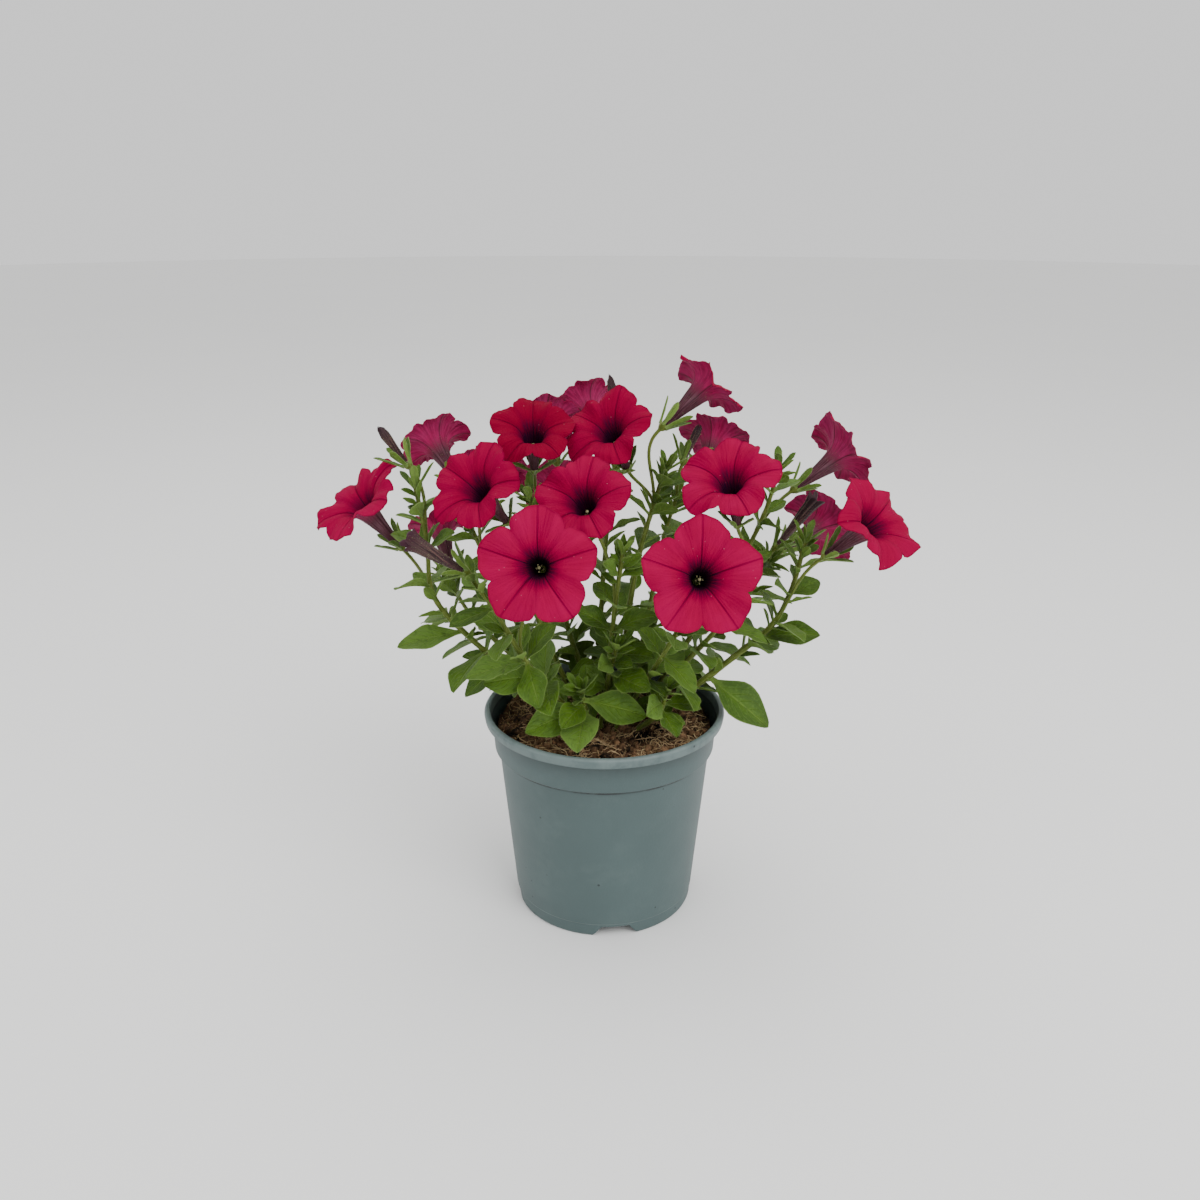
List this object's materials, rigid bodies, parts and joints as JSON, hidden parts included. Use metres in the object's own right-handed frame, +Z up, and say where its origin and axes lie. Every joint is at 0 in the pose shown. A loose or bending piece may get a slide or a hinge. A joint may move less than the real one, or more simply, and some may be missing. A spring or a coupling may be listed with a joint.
{
  "type": "potted petunia",
  "caption": "Bushy petunia with magenta trumpet blooms, dark buds and hairy green leaves, growing from the soil of a tapered plastic nursery pot with a collar, a lip and a notched foot",
  "frame": {"origin": "middle of the object's bounding box in X and Y, which is the pot's axis, at the underside of the foot", "axes": "+Z up along the pot, +Y towards the back of the plant, X along the plant's width"},
  "size_m": [0.2941, 0.2076, 0.299],
  "materials": {
    "pot": "satin",
    "soil": "matte",
    "foliage": "matte",
    "bloom": "matte",
    "bud": "matte"
  },
  "bodies": {
    "root": {"pot": "pot", "soil": "soil", "bloom_far_left": "bloom", "bud_left": "bud", "bloom_front_left": "bloom", "bud_opening": "bud", "bloom_back_left": "bloom", "bloom_back_left_hidden": "bloom", "bloom_middle_left": "bloom", "bloom_rear_left": "bloom", "bloom_top_left": "bloom", "bloom_top_left_hidden": "bloom", "bloom_middle": "bloom", "bloom_top_middle": "bloom", "bloom_top_right": "bloom", "bloom_top_back": "bloom", "bud_top": "bud", "bloom_back_right": "bloom", "bud_slim": "bud", "bloom_middle_right": "bloom", "bloom_high_right": "bloom", "bloom_rear_right": "bloom", "bud_wilting": "bud", "bloom_far_right": "bloom", "bloom_front_right": "bloom", "bloom_rear_low": "bloom", "stem_left_low": "foliage", "stem_left_front": "foliage", "stem_left_back": "foliage", "stem_left_middle": "foliage", "stem_left_rear": "foliage", "stem_centre_left": "foliage", "stem_centre": "foliage", "stem_centre_right": "foliage", "stem_rear_centre": "foliage", "stem_right_back": "foliage", "stem_right_middle": "foliage", "stem_right_high": "foliage", "stem_right_rear": "foliage", "stem_right_low": "foliage", "stem_front_right": "foliage", "stem_front_shoot": "foliage", "stem_front_right_shoot": "foliage", "stem_front_middle_shoot": "foliage", "stem_rear_shoot": "foliage", "stem_rear_right_shoot": "foliage"}
  },
  "joints": []
}
